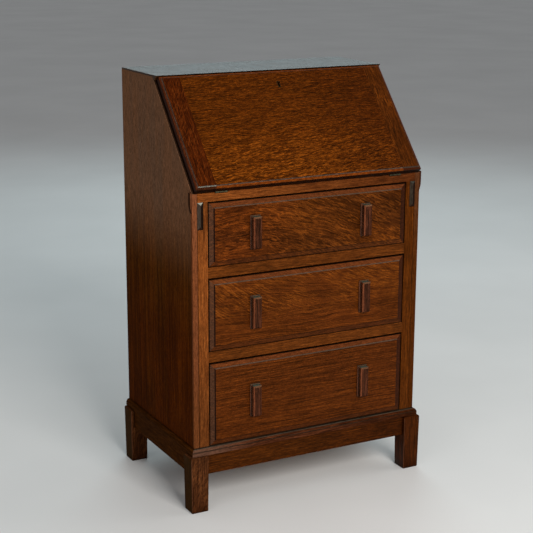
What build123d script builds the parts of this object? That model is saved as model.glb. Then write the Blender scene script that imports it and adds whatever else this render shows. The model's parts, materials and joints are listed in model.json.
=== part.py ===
"""Slant-front secretary desk in oak, about 1935, built board by board.

Millimetres, +Z up. The origin is on the floor under the middle of the overall box: X runs along the
width, and the front faces -Y. The fall-front lid turns about a line parallel to X.
"""
from build123d import *
import os
from math import cos, radians, sin

# --- driving dimensions -------------------------------------------------------------------------
WIDTH = 610.0              # over the two side boards
HEIGHT = 1007.0            # floor to the top board
CASE_FRONT = -188.0        # front face of posts, rails and side edges
CASE_BACK = 209.0          # back face of the case
SIDE_THICK = 13.0
BACK_THICK = 6.0
TOP_THICK = 20.0
TOP_LIP = 4.0              # part of the top board that covers the side boards
CASE_BOTTOM = 158.0        # top of the plinth frame
FIT = 0.3                  # gap between pieces that move past each other

# --- stand: plinth frame, legs and aprons -------------------------------------------------------
PLINTH_HEIGHT = 18.5
PLINTH_PROUD = 8.0
PLINTH_DEPTH = 56.0        # width of the frame's members on plan
PLINTH_FILLET = 1.5
PLINTH_STEP = 1.0
PLINTH_ROUND = 6.5
LEG_TOP = 45.0
LEG_FOOT = 42.0
LEG_PROUD = 13.5
LEG_CHAMFER = 2.5
APRON_BOTTOM = 91.0
APRON_THICK = 20.0
APRON_PROUD = 5.0
BLOCK_SIZE = 32.0

# --- front frame --------------------------------------------------------------------------------
POST_WIDTH = 26.0
POST_DEPTH = 30.0
RAIL_HEIGHT = 26.0
RAIL_DEPTH = 40.0
TOP_RAIL_BOTTOM = 742.5
TOP_RAIL_DEPTH = 20.0
UPPER_RAIL_BOTTOM = 564.0
LOWER_RAIL_BOTTOM = 362.5
BED_THICK = 16.0
BOTTOM_THICK = 6.0
RUNNER_THICK = 14.0
RUNNER_WIDTH = 42.0
GUIDE_HEIGHT = 30.0

# --- shaped blocks on the side edges ------------------------------------------------------------
EAR_THICK = 4.4
EAR_DEPTH = 10.0
EAR_BOTTOM = 718.0
EAR_CURVE = 740.0
EAR_BULGE = 3.3
EAR_RISE = 2.5              # the blocks stand this far above the hinge line

# --- lopers (lid supports) ----------------------------------------------------------------------
LOPER_SLOT_WIDTH = 15.0
LOPER_SLOT_BOTTOM = 679.5
LOPER_LENGTH = 330.0
LOPER_CAP_THICK = 8.0
LOPER_CAP_HIP = 3.5

# --- lid ----------------------------------------------------------------------------------------
HINGE_Y = CASE_FRONT - FIT
HINGE_Z = 763.0            # top face of the writing bed
SLOPE = 48.8               # degrees from horizontal
LID_WIDTH = 600.0
LID_THICK = 20.0
LID_LENGTH = 306.3
LID_GAP = 0.8              # between the lid's upper edge and the top board
CLAMP_WIDTH = 51.0
RIM_WIDTH = 6.5            # lowered border of the lid's outer face
RIM_DEPTH = 1.8
RIM_ROUND = 3.5
TONGUE_LENGTH = 12.0
TONGUE_THICK = 7.0

# --- hinges, lock -------------------------------------------------------------------------------
HINGE_X = 232.5
HINGE_LENGTH = 31.0
LEAF_WIDTH = 19.0
LEAF_THICK = 1.6
KNUCKLE_RADIUS = 2.6
KNUCKLE_ROOM = 3.0
KNUCKLE_SEGMENT = 10.1
PIN_RADIUS = 1.0
PIN_ROOM = 0.05
SCREW_HEAD = 2.8
SCREW_SHANK = 1.3
SCREW_LENGTH = 11.0
SCREW_SPACING = 18.0
SCREW_OUT = 12.0           # from the hinge line to the screws
LOCK_WIDTH = 64.0
LOCK_DEPTH = 54.0
LOCK_THICK = 10.0
BOLT_WIDTH = 16.0
BOLT_THICK = 3.0
BOLT_LENGTH = 22.0
BOLT_TRAVEL = 6.0
BOLT_OUT = 5.0             # bolt's lower face, from the lid's inner face
KEYHOLE_RISE = 269.0       # keyhole's round head, from the hinge line
KEYHOLE_DEPTH = 6.0        # how far the keyhole goes into the lock
KEYHOLE_HEAD = 3.4
KEYHOLE_SLOT = 4.4
KEYHOLE_TAIL = 12.0
LINER_WALL = 1.3
LINER_DEPTH = 2.0
LINER_PROUD = 0.3
STRIKE_WIDTH = 40.0
STRIKE_DEPTH = 12.0
STRIKE_THICK = 1.2
HEAD_DEPTH = 1.2           # countersunk head of a hinge screw

# --- drawers ------------------------------------------------------------------------------------
DRAWER_SIDE_GAP = 1.8
DRAWER_TOP_GAP = 2.2
DRAWER_BOTTOM_GAP = 0.5
FRONT_THICK = 20.0
FIELD_MARGIN = 13.0
FIELD_PROUD = 4.0          # drawer field in front of the posts
BEVEL_RISE = 2.5
FIELD_RISE = 2.0
BOARD_THICK = 10.0
BOX_BACK = 187.0           # back face of the drawer boxes
BOX_SHORTER = 12.0         # drawer sides are this much lower than their opening
TRAY_THICK = 5.0
TRAY_UP = 8.0
PULL_X = 148.0
PULL_DROP = 4.0            # pulls sit this far below the middle of the opening
PLATE_WIDTH = 26.0
PLATE_HEIGHT = 79.0
PLATE_THICK = 3.5
NECK_WIDTH = 16.5
NECK_THICK = 6.0
GRIP_WIDTH = 22.0
GRIP_HEIGHT = 75.0
GRIP_THICK = 7.5
GRIP_CHAMFER = 3.0

# --- pigeonholes and small inner drawer ---------------------------------------------------------
PIGEON_FRONT = 60.0
SHELF_BOTTOM = 833.0
SHELF_THICK = 8.0
DIVIDER_THICK = 6.0
INNER_HALF = 98.0
INNER_FRONT_THICK = 12.0
INNER_BOARD = 6.0
KNOB_RADIUS = 7.5
KNOB_NECK = 3.5
KNOB_LENGTH = 14.0
KNOB_HEAD = 8.0
KNOB_ROUND = 3.0
SMALL_BACK_GAP = 8.0       # behind the small drawer
SMALL_LOWER = 6.0          # its sides are this much lower than its front

# --- worked out from the values above -----------------------------------------------------------
HALF = WIDTH / 2
INNER = HALF - SIDE_THICK                  # inside face of the side boards
BACK_INSIDE = CASE_BACK - BACK_THICK
OPENING_HALF = INNER - POST_WIDTH          # half width of the drawer openings
SLOT_INSIDE = INNER - LOPER_SLOT_WIDTH
UPPER_RAIL_TOP = UPPER_RAIL_BOTTOM + RAIL_HEIGHT
LOWER_RAIL_TOP = LOWER_RAIL_BOTTOM + RAIL_HEIGHT
LEG_HEIGHT = CASE_BOTTOM - PLINTH_HEIGHT
SIDE_TOP = HEIGHT - TOP_LIP
BED_BOTTOM = HINGE_Z - BED_THICK
TOP_UNDER = HEIGHT - TOP_THICK
LID_STOP = LID_LENGTH + LID_GAP            # where the top board's sloping edge begins
UP_Y, UP_Z = cos(radians(SLOPE)), sin(radians(SLOPE))

# The lid is drawn on this plane: local x along the width, local y up the slope from the hinge
# line, local z outwards from the lid's inner face.
LID = Plane(origin=(0, HINGE_Y, HINGE_Z), x_dir=(1, 0, 0), z_dir=(0, -UP_Z, UP_Y))
DRAWERS = {
    "top": (UPPER_RAIL_TOP, TOP_RAIL_BOTTOM, UPPER_RAIL_TOP),
    "middle": (LOWER_RAIL_TOP, UPPER_RAIL_BOTTOM, LOWER_RAIL_TOP),
    "bottom": (CASE_BOTTOM, LOWER_RAIL_BOTTOM, CASE_BOTTOM + BOTTOM_THICK),
}

os.makedirs("parts", exist_ok=True)


def save(part, label):
    """Export one piece, or one set of like pieces, under its name."""
    part.label = label
    export_step(part, f"parts/{label}.step")


def board(x0, x1, y0, y1, z0, z1):
    """A plain rectangular board between six faces."""
    with BuildPart() as piece:
        with BuildSketch(Plane.XY.offset(z0)):
            with Locations(((x0 + x1) / 2, (y0 + y1) / 2)):
                Rectangle(x1 - x0, y1 - y0)
        extrude(amount=z1 - z0)
    return piece.part


def group(parts):
    """Several separate solids that share a node."""
    return Compound(children=[solid for part in parts for solid in part.solids()])


def sided(side, near, far):
    """The two X values of something that runs from near to far on one side, in rising order."""
    return (near, far) if side > 0 else (-far, -near)


def on_slope(out, rise):
    """(Y, Z) of a point out from the lid's inner face and rise up the slope."""
    return (HINGE_Y + rise * UP_Y - out * UP_Z, HINGE_Z + rise * UP_Z + out * UP_Y)


def at_height(out, z):
    """(Y, Z) of the point at height z on the plane that lies out from the lid's inner face."""
    rise = (z - HINGE_Z - out * UP_Y) / UP_Z
    return on_slope(out, rise)


def lid_block(x0, x1, rise0, rise1, out0, out1):
    """A rectangular block squared to the closed lid."""
    with BuildPart() as piece:
        with BuildSketch(LID.offset(out0)):
            with Locations(((x0 + x1) / 2, (rise0 + rise1) / 2)):
                Rectangle(x1 - x0, rise1 - rise0)
        extrude(amount=out1 - out0)
    return piece.part


def lying_rod(x0, x1, radius):
    """A round rod on the hinge line."""
    with BuildPart() as piece:
        with BuildSketch(Plane.YZ.offset(x0)):
            with Locations((HINGE_Y, HINGE_Z)):
                Circle(radius)
        extrude(amount=x1 - x0)
    return piece.part


def pin(plane, x, y, radius, length):
    """A round rod standing on a plane at (x, y)."""
    with BuildPart() as piece:
        with BuildSketch(plane):
            with Locations((x, y)):
                Circle(radius)
        extrude(amount=length)
    return piece.part


# --- stand --------------------------------------------------------------------------------------
ROUND_X = PLINTH_PROUD - PLINTH_STEP - PLINTH_ROUND
ROUND_Z = CASE_BOTTOM - PLINTH_FILLET - PLINTH_ROUND


def plinth_member(plane, length, corners):
    """One mitred member of the plinth frame; local x of plane points away from the case."""
    with BuildPart() as member:
        with BuildSketch(plane):
            with BuildLine():
                CenterArc((ROUND_X, ROUND_Z), PLINTH_ROUND, 0, 90)
                Polyline(
                    (ROUND_X, ROUND_Z + PLINTH_ROUND),
                    (ROUND_X, CASE_BOTTOM),
                    (PLINTH_PROUD - PLINTH_DEPTH, CASE_BOTTOM),
                    (PLINTH_PROUD - PLINTH_DEPTH, LEG_HEIGHT),
                    (PLINTH_PROUD, LEG_HEIGHT),
                    (PLINTH_PROUD, ROUND_Z),
                    (PLINTH_PROUD - PLINTH_STEP, ROUND_Z),
                )
            make_face()
        extrude(amount=length)
        with BuildSketch(Plane.XY.offset(LEG_HEIGHT)):
            Polygon(*corners, align=None)
        extrude(amount=PLINTH_HEIGHT, mode=Mode.INTERSECT)
    return member.part


OUT_X = HALF + PLINTH_PROUD
OUT_Y = CASE_FRONT - PLINTH_PROUD
IN_X = OUT_X - PLINTH_DEPTH
IN_Y = OUT_Y + PLINTH_DEPTH
FRONT_PLANE = Plane(origin=(OUT_X, CASE_FRONT, 0), x_dir=(0, -1, 0), z_dir=(-1, 0, 0))
LEFT_PLANE = Plane(origin=(-HALF, OUT_Y, 0), x_dir=(-1, 0, 0), z_dir=(0, 1, 0))
FRONT_PLAN = [(-OUT_X, OUT_Y), (OUT_X, OUT_Y), (IN_X, IN_Y), (-IN_X, IN_Y)]
LEFT_PLAN = [(-OUT_X, OUT_Y), (-IN_X, IN_Y), (-IN_X, CASE_BACK), (-OUT_X, CASE_BACK)]
plinth_left = plinth_member(LEFT_PLANE, CASE_BACK - OUT_Y, LEFT_PLAN)
save(plinth_member(FRONT_PLANE, 2 * OUT_X, FRONT_PLAN), "plinth_front")
save(plinth_left, "plinth_left")
save(mirror(plinth_left, about=Plane.YZ), "plinth_right")

LEG_X = HALF + LEG_PROUD - LEG_TOP / 2
LEG_FRONT_Y = CASE_FRONT - LEG_PROUD + LEG_TOP / 2
LEG_REAR_Y = CASE_BACK - LEG_TOP / 2


def leg(x, y):
    """A square leg, a little slimmer at the foot, with its top and foot edges eased."""
    with BuildPart() as post:
        for height, size in ((0, LEG_FOOT), (LEG_HEIGHT, LEG_TOP)):
            with BuildSketch(Plane.XY.offset(height)):
                with Locations((x, y)):
                    Rectangle(size, size)
        loft()
        chamfer(post.faces().sort_by(Axis.Z)[-1].edges(), length=LEG_CHAMFER)
        chamfer(post.faces().sort_by(Axis.Z)[0].edges(), length=LEG_CHAMFER / 2)
    return post.part


for side, side_name in ((-1, "left"), (1, "right")):
    save(leg(side * LEG_X, LEG_FRONT_Y), f"leg_front_{side_name}")
    save(leg(side * LEG_X, LEG_REAR_Y), f"leg_rear_{side_name}")

# The legs taper, so each apron is cut back to the legs' sloping faces at its ends.
TAPER = (LEG_TOP - LEG_FOOT) / 2 / LEG_HEIGHT
APRON_END = LEG_TOP / 2 - TAPER * (LEG_HEIGHT - APRON_BOTTOM)


def apron(plane, half_length):
    """A straight apron; plane's local x runs along it and its local z through its thickness."""
    low_half = half_length + TAPER * (LEG_HEIGHT - APRON_BOTTOM)
    with BuildPart() as piece:
        with BuildSketch(plane):
            Polygon(
                (-low_half, APRON_BOTTOM),
                (low_half, APRON_BOTTOM),
                (half_length, LEG_HEIGHT),
                (-half_length, LEG_HEIGHT),
                align=None,
            )
        extrude(amount=APRON_THICK)
    return piece.part


SPAN_X = LEG_X - LEG_TOP / 2
SPAN_Y = (LEG_REAR_Y - LEG_FRONT_Y - LEG_TOP) / 2
MID_Y = (LEG_REAR_Y + LEG_FRONT_Y) / 2
APRON_FRONT_FACE = CASE_FRONT - APRON_PROUD
APRON_SIDE_FACE = HALF + APRON_PROUD
front_plane = Plane(origin=(0, APRON_FRONT_FACE + APRON_THICK, 0), x_dir=(1, 0, 0), z_dir=(0, -1, 0))
left_plane = Plane(origin=(-APRON_SIDE_FACE, MID_Y, 0), x_dir=(0, 1, 0), z_dir=(1, 0, 0))
apron_left = apron(left_plane, SPAN_Y)
save(apron(front_plane, SPAN_X), "apron_front")
save(apron_left, "apron_left")
save(mirror(apron_left, about=Plane.YZ), "apron_right")

# The rear apron also closes the plinth frame at the back, between its two side members.
with BuildPart() as apron_rear:
    rear_plane = Plane(origin=(0, CASE_BACK, 0), x_dir=(1, 0, 0), z_dir=(0, -1, 0))
    with BuildSketch(rear_plane):
        Polygon(
            (-SPAN_X, LEG_HEIGHT),
            (-SPAN_X - TAPER * (LEG_HEIGHT - APRON_BOTTOM), APRON_BOTTOM),
            (SPAN_X + TAPER * (LEG_HEIGHT - APRON_BOTTOM), APRON_BOTTOM),
            (SPAN_X, LEG_HEIGHT),
            (IN_X, LEG_HEIGHT),
            (IN_X, CASE_BOTTOM),
            (-IN_X, CASE_BOTTOM),
            (-IN_X, LEG_HEIGHT),
            align=None,
        )
    extrude(amount=APRON_THICK)
save(apron_rear.part, "apron_rear")

FRONT_INSIDE = APRON_FRONT_FACE + APRON_THICK
REAR_INSIDE = CASE_BACK - APRON_THICK
LEG_FRONT_INSIDE = LEG_FRONT_Y + LEG_TOP / 2
LEG_REAR_INSIDE = LEG_REAR_Y - LEG_TOP / 2
with BuildPart() as corner_blocks:
    with BuildSketch(Plane.XY.offset(LEG_HEIGHT - BLOCK_SIZE)):
        for side in (-1, 1):
            for near, far in ((FRONT_INSIDE, LEG_FRONT_INSIDE), (REAR_INSIDE, LEG_REAR_INSIDE)):
                corner = [(side * SPAN_X, near), (side * (SPAN_X - BLOCK_SIZE), near), (side * SPAN_X, far)]
                Polygon(*corner, align=None)
    extrude(amount=BLOCK_SIZE)
save(corner_blocks.part, "corner_blocks")

# --- case ---------------------------------------------------------------------------------------
SIDE_PROFILE = [
    (CASE_BACK, CASE_BOTTOM),
    (CASE_BACK, SIDE_TOP),
    at_height(-FIT, SIDE_TOP),
    (CASE_FRONT, HINGE_Z),
    (CASE_FRONT, CASE_BOTTOM),
]
for side, side_name in ((-1, "left"), (1, "right")):
    with BuildPart() as side_board:
        with BuildSketch(Plane.YZ.offset(-HALF if side < 0 else INNER)):
            Polygon(*SIDE_PROFILE, align=None)
        extrude(amount=SIDE_THICK)
    save(side_board.part, f"side_{side_name}")

save(board(-INNER, INNER, BACK_INSIDE, CASE_BACK, CASE_BOTTOM, TOP_UNDER), "back_panel")

# Small shaped blocks widen the side edges just under the lid; their lower ends curve in.
with BuildPart() as side_ears:
    for side in (-1, 1):
        with BuildSketch(Plane.XZ.offset(-CASE_FRONT)):
            with BuildLine():
                Polyline(
                    (side * HALF, EAR_BOTTOM),
                    (side * HALF, HINGE_Z + EAR_RISE),
                    (side * (HALF + EAR_THICK), HINGE_Z + EAR_RISE),
                    (side * (HALF + EAR_THICK), EAR_CURVE),
                )
                ThreePointArc(
                    (side * (HALF + EAR_THICK), EAR_CURVE),
                    (side * (HALF + EAR_BULGE), (EAR_CURVE + EAR_BOTTOM) / 2),
                    (side * HALF, EAR_BOTTOM),
                )
            make_face()
        extrude(amount=-EAR_DEPTH)
save(side_ears.part, "side_ears")


# --- top board ----------------------------------------------------------------------------------
# Its front edge is undercut square to the lid, and it laps over the side boards.
def stop_at(z):
    """(Y, Z) of the undercut front edge at height z."""
    out = (z - HINGE_Z - LID_STOP * UP_Z) / UP_Y
    return on_slope(out, LID_STOP)


with BuildPart() as top_board:
    with BuildSketch(Plane.YZ.offset(-HALF)):
        Polygon(
            stop_at(TOP_UNDER),
            stop_at(HEIGHT),
            (CASE_BACK, HEIGHT),
            (CASE_BACK, TOP_UNDER),
            align=None,
        )
    extrude(amount=WIDTH)
    for start in (-HALF, INNER):
        with BuildSketch(Plane.YZ.offset(start)):
            Polygon(*SIDE_PROFILE, align=None)
        extrude(amount=SIDE_THICK, mode=Mode.SUBTRACT)
    strike_low = BOLT_OUT + BOLT_THICK / 2 - STRIKE_DEPTH / 2
    strike_ends = (LID_STOP, LID_STOP + STRIKE_THICK)
    plate = (-STRIKE_WIDTH / 2, STRIKE_WIDTH / 2, *strike_ends, strike_low, strike_low + STRIKE_DEPTH)
    room = (-BOLT_WIDTH / 2 - FIT, BOLT_WIDTH / 2 + FIT)
    depth = (LID_STOP, LID_STOP + BOLT_TRAVEL + 2)
    mortise = (*room, *depth, BOLT_OUT - 2 * FIT, BOLT_OUT + BOLT_THICK + 2 * FIT)
    add(lid_block(*plate), mode=Mode.SUBTRACT)
    add(lid_block(*mortise), mode=Mode.SUBTRACT)
save(top_board.part, "top_board")
save(lid_block(*plate) - lid_block(*mortise), "strike_plate")

# --- front frame, writing bed and inside boards -------------------------------------------------
save(board(-INNER, INNER, CASE_FRONT + TOP_RAIL_DEPTH, BACK_INSIDE, BED_BOTTOM, HINGE_Z), "writing_bed")

HINGES = (-HINGE_X, HINGE_X)
LEAF_BACK = HINGE_Y + LEAF_WIDTH
SCREWS = [x + way * SCREW_SPACING / 2 for x in HINGES for way in (-1, 1)]
HALF_HINGE = HINGE_LENGTH / 2


def bed_screw(x):
    """One hinge screw in the rail, head flush with the leaf."""
    down = Plane(origin=(0, 0, HINGE_Z), x_dir=(1, 0, 0), z_dir=(0, 0, -1))
    head = pin(down, x, -(HINGE_Y + SCREW_OUT), SCREW_HEAD, HEAD_DEPTH)
    return head + pin(down, x, -(HINGE_Y + SCREW_OUT), SCREW_SHANK, SCREW_LENGTH)


def lid_screw(x):
    """One hinge screw in the lid, head flush with the leaf."""
    head = pin(LID, x, SCREW_OUT, SCREW_HEAD, HEAD_DEPTH)
    return head + pin(LID, x, SCREW_OUT, SCREW_SHANK, SCREW_LENGTH)


with BuildPart() as top_rail:
    add(board(-INNER, INNER, CASE_FRONT, CASE_FRONT + TOP_RAIL_DEPTH, TOP_RAIL_BOTTOM, HINGE_Z))
    for x in HINGES:
        leaf = (x - HALF_HINGE, x + HALF_HINGE, HINGE_Y, LEAF_BACK, HINGE_Z - LEAF_THICK, HINGE_Z)
        add(board(*leaf), mode=Mode.SUBTRACT)
        add(lying_rod(x - HALF_HINGE - FIT, x + HALF_HINGE + FIT, KNUCKLE_ROOM), mode=Mode.SUBTRACT)
    for x in SCREWS:
        add(bed_screw(x), mode=Mode.SUBTRACT)
save(top_rail.part, "top_rail")

for name, bottom, top in (
    ("drawer_rail_upper", UPPER_RAIL_BOTTOM, UPPER_RAIL_TOP),
    ("drawer_rail_lower", LOWER_RAIL_BOTTOM, LOWER_RAIL_TOP),
):
    save(board(-OPENING_HALF, OPENING_HALF, CASE_FRONT, CASE_FRONT + RAIL_DEPTH, bottom, top), name)

POST_BACK = CASE_FRONT + POST_DEPTH
for side, side_name in ((-1, "left"), (1, "right")):
    whole_width = (*sided(side, OPENING_HALF, INNER), CASE_FRONT, POST_BACK)
    beside_loper = (*sided(side, OPENING_HALF, SLOT_INSIDE), CASE_FRONT, POST_BACK)
    full = board(*whole_width, CASE_BOTTOM, LOPER_SLOT_BOTTOM)
    strip = board(*beside_loper, LOPER_SLOT_BOTTOM, TOP_RAIL_BOTTOM)
    save(full + strip, f"front_post_{side_name}")

INSIDE = (POST_BACK, BACK_INSIDE)
save(board(-INNER, INNER, *INSIDE, CASE_BOTTOM, CASE_BOTTOM + BOTTOM_THICK), "bottom_board")

loper_guides = []
runners = []
for side in (-1, 1):
    wall = sided(side, OPENING_HALF, SLOT_INSIDE)
    ledge = sided(side, SLOT_INSIDE, INNER)
    loper_guides.append(board(*wall, *INSIDE, UPPER_RAIL_TOP, BED_BOTTOM))
    loper_guides.append(board(*ledge, *INSIDE, LOPER_SLOT_BOTTOM - RAIL_HEIGHT, LOPER_SLOT_BOTTOM))
    shelf = sided(side, INNER - RUNNER_WIDTH, INNER)
    beside = sided(side, OPENING_HALF, INNER)
    behind_rail = (CASE_FRONT + RAIL_DEPTH, BACK_INSIDE)
    runners.append(board(*shelf, *behind_rail, UPPER_RAIL_TOP - RUNNER_THICK, UPPER_RAIL_TOP))
    runners.append(board(*shelf, *behind_rail, LOWER_RAIL_TOP - RUNNER_THICK, LOWER_RAIL_TOP))
    runners.append(board(*beside, *behind_rail, LOWER_RAIL_TOP, LOWER_RAIL_TOP + GUIDE_HEIGHT))
    floor = CASE_BOTTOM + BOTTOM_THICK
    runners.append(board(*beside, *INSIDE, floor, floor + GUIDE_HEIGHT))
save(group(loper_guides), "loper_guides")
save(group(runners), "drawer_runners")

# --- pigeonholes and the small drawer between them ----------------------------------------------
SHELF_TOP = SHELF_BOTTOM + SHELF_THICK
save(board(-INNER, INNER, PIGEON_FRONT, BACK_INSIDE, SHELF_BOTTOM, SHELF_TOP), "pigeonhole_shelf")
dividers = []
for side in (-1, 1):
    near = sided(side, INNER_HALF, INNER_HALF + DIVIDER_THICK)
    middle = (INNER_HALF + DIVIDER_THICK + INNER) / 2
    far = sided(side, middle - DIVIDER_THICK / 2, middle + DIVIDER_THICK / 2)
    dividers.append(board(*near, PIGEON_FRONT, BACK_INSIDE, HINGE_Z, SHELF_BOTTOM))
    dividers.append(board(*near, PIGEON_FRONT, BACK_INSIDE, SHELF_TOP, TOP_UNDER))
    dividers.append(board(*far, PIGEON_FRONT, BACK_INSIDE, SHELF_TOP, TOP_UNDER))
save(group(dividers), "pigeonhole_dividers")

SMALL_HALF = INNER_HALF - 2 * FIT
SMALL_BOTTOM = HINGE_Z + FIT
SMALL_TOP = SHELF_BOTTOM - 4 * FIT
SMALL_BACK = BACK_INSIDE - SMALL_BACK_GAP
SMALL_INSIDE = PIGEON_FRONT + INNER_FRONT_THICK
small_front = (-SMALL_HALF, SMALL_HALF, PIGEON_FRONT, SMALL_INSIDE, SMALL_BOTTOM, SMALL_TOP)
save(board(*small_front), "inner_drawer_front")
small_wall = SMALL_HALF - INNER_BOARD
small_top = SMALL_TOP - SMALL_LOWER
floor_top = SMALL_BOTTOM + INNER_BOARD
inner_drawer_box = [board(-SMALL_HALF, SMALL_HALF, SMALL_INSIDE, SMALL_BACK, SMALL_BOTTOM, floor_top)]
inner_drawer_box.append(
    board(-small_wall, small_wall, SMALL_BACK - INNER_BOARD, SMALL_BACK, floor_top, small_top)
)
for side in (-1, 1):
    wall = sided(side, small_wall, SMALL_HALF)
    inner_drawer_box.append(board(*wall, SMALL_INSIDE, SMALL_BACK, floor_top, small_top))
save(group(inner_drawer_box), "inner_drawer_box")
with BuildPart() as inner_drawer_knob:
    with BuildSketch(Plane.XZ.offset(KNOB_LENGTH - KNOB_HEAD - PIGEON_FRONT)):
        with Locations((0, (SMALL_BOTTOM + SMALL_TOP) / 2)):
            Circle(KNOB_RADIUS)
    extrude(amount=KNOB_HEAD)
    fillet(inner_drawer_knob.faces().sort_by(Axis.Y)[0].edges(), radius=KNOB_ROUND)
    fillet(inner_drawer_knob.faces().sort_by(Axis.Y)[-1].edges(), radius=KNOB_ROUND / 2)
    with BuildSketch(Plane.XZ.offset(-PIGEON_FRONT)):
        with Locations((0, (SMALL_BOTTOM + SMALL_TOP) / 2)):
            Circle(KNOB_NECK)
    extrude(amount=KNOB_LENGTH - KNOB_HEAD)
save(inner_drawer_knob.part, "inner_drawer_knob")

# --- lopers -------------------------------------------------------------------------------------
CAP_BACK = CASE_FRONT + LOPER_CAP_THICK
for side, side_name in ((-1, "left"), (1, "right")):
    low_x, high_x = sided(side, SLOT_INSIDE + FIT, INNER - FIT)
    low_z, high_z = LOPER_SLOT_BOTTOM + FIT, TOP_RAIL_BOTTOM - FIT
    save(board(low_x, high_x, CAP_BACK, CAP_BACK + LOPER_LENGTH, low_z, high_z), f"loper_{side_name}")
    middle_x = (low_x + high_x) / 2
    hip = (high_x - low_x) / 2
    with BuildPart() as loper_cap:
        add(board(low_x, high_x, CASE_FRONT, CAP_BACK, low_z, high_z))
        with BuildPart(mode=Mode.PRIVATE) as roof:
            with BuildSketch(Plane.XY.offset(low_z)):
                Polygon(
                    (low_x, CASE_FRONT),
                    (high_x, CASE_FRONT),
                    (middle_x, CASE_FRONT - LOPER_CAP_HIP),
                    align=None,
                )
            extrude(amount=high_z - low_z)
            with BuildSketch(Plane.YZ.offset(low_x)):
                Polygon(
                    (CASE_FRONT, low_z),
                    (CASE_FRONT, high_z),
                    (CASE_FRONT - LOPER_CAP_HIP, high_z - hip),
                    (CASE_FRONT - LOPER_CAP_HIP, low_z + hip),
                    align=None,
                )
            extrude(amount=high_x - low_x, mode=Mode.INTERSECT)
        add(roof.part)
    save(loper_cap.part, f"loper_cap_{side_name}")

# --- drawers ------------------------------------------------------------------------------------
FRONT_HALF = OPENING_HALF - DRAWER_SIDE_GAP
FIELD_Y = CASE_FRONT - FIELD_PROUD
EDGE_Y = FIELD_Y + FIELD_RISE + BEVEL_RISE
FRONT_BACK = FIELD_Y + FRONT_THICK


def drawer_front(low, high):
    """A drawer front: bevelled border rising to a step, then the raised field."""
    centre = (0, (low + high) / 2)
    width, height = 2 * FRONT_HALF, high - low
    field = (width - 2 * FIELD_MARGIN, height - 2 * FIELD_MARGIN)
    with BuildPart() as front:
        with BuildSketch(Plane.XZ.offset(-FRONT_BACK)):
            with Locations(centre):
                Rectangle(width, height)
        extrude(amount=FRONT_BACK - EDGE_Y)
        with BuildSketch(Plane.XZ.offset(-EDGE_Y)):
            with Locations(centre):
                Rectangle(width, height)
        with BuildSketch(Plane.XZ.offset(-FIELD_Y - FIELD_RISE)):
            with Locations(centre):
                Rectangle(*field)
        loft()
        with BuildSketch(Plane.XZ.offset(-FIELD_Y - FIELD_RISE)):
            with Locations(centre):
                Rectangle(*field)
        extrude(amount=FIELD_RISE)
    return front.part


def pull(x, z):
    """A wooden pull: plate, hollowed neck and grip with chamfered edges."""
    back = FIELD_Y
    neck = back - PLATE_THICK
    grip = neck - NECK_THICK
    with BuildPart() as handle:
        with BuildSketch(Plane.XZ.offset(-back)):
            with Locations((x, z)):
                Rectangle(PLATE_WIDTH, PLATE_HEIGHT)
        extrude(amount=PLATE_THICK)
        chamfer(handle.faces().sort_by(Axis.Y)[0].edges(), length=1.0)
        with BuildSketch(Plane.XY.offset(z - GRIP_HEIGHT / 2)):
            with BuildLine():
                Line((x - GRIP_WIDTH / 2, grip), (x + GRIP_WIDTH / 2, grip))
                ThreePointArc(
                    (x + GRIP_WIDTH / 2, grip),
                    (x + NECK_WIDTH / 2, (neck + grip) / 2),
                    (x + GRIP_WIDTH / 2 - 1, neck),
                )
                Line((x + GRIP_WIDTH / 2 - 1, neck), (x - GRIP_WIDTH / 2 + 1, neck))
                ThreePointArc(
                    (x - GRIP_WIDTH / 2 + 1, neck),
                    (x - NECK_WIDTH / 2, (neck + grip) / 2),
                    (x - GRIP_WIDTH / 2, grip),
                )
            make_face()
        extrude(amount=GRIP_HEIGHT)
        with BuildSketch(Plane.XZ.offset(-grip)):
            with Locations((x, z)):
                Rectangle(GRIP_WIDTH, GRIP_HEIGHT)
        extrude(amount=GRIP_THICK)
        chamfer(handle.faces().sort_by(Axis.Y)[0].edges(), length=GRIP_CHAMFER)
    return handle.part


for name, (low, high, floor) in DRAWERS.items():
    front_low = low + DRAWER_BOTTOM_GAP
    front_high = high - DRAWER_TOP_GAP
    save(drawer_front(front_low, front_high), f"drawer_{name}_front")
    bottom = floor + FIT
    top = high - BOX_SHORTER
    tray_top = bottom + TRAY_UP + TRAY_THICK
    box_wall = FRONT_HALF - BOARD_THICK
    drawer_box = [board(-box_wall, box_wall, BOX_BACK - BOARD_THICK, BOX_BACK, tray_top, top)]
    for side in (-1, 1):
        drawer_box.append(board(*sided(side, box_wall, FRONT_HALF), FRONT_BACK, BOX_BACK, bottom, top))
    save(group(drawer_box), f"drawer_{name}_box")
    tray = (-box_wall, box_wall, FRONT_BACK, BOX_BACK, bottom + TRAY_UP, tray_top)
    save(board(*tray), f"drawer_{name}_tray")
    pull_z = (low + high) / 2 - PULL_DROP
    save(group([pull(-PULL_X, pull_z), pull(PULL_X, pull_z)]), f"drawer_{name}_pulls")

# --- lid ----------------------------------------------------------------------------------------
LID_HALF = LID_WIDTH / 2
PANEL_HALF = LID_HALF - CLAMP_WIDTH
TONGUE_LOW = (LID_THICK - RIM_DEPTH - TONGUE_THICK) / 2
with BuildPart() as lid_face:
    add(lid_block(-LID_HALF, LID_HALF, 0, LID_LENGTH, 0, LID_THICK - RIM_DEPTH))
    outer = lid_face.faces().sort_by(Axis((0, 0, 0), (0, -UP_Z, UP_Y)))[-1].edges()
    fillet(outer, radius=RIM_ROUND)
    field = (-LID_HALF + RIM_WIDTH, LID_HALF - RIM_WIDTH, RIM_WIDTH, LID_LENGTH - RIM_WIDTH)
    add(lid_block(*field, LID_THICK - RIM_DEPTH, LID_THICK))


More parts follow.
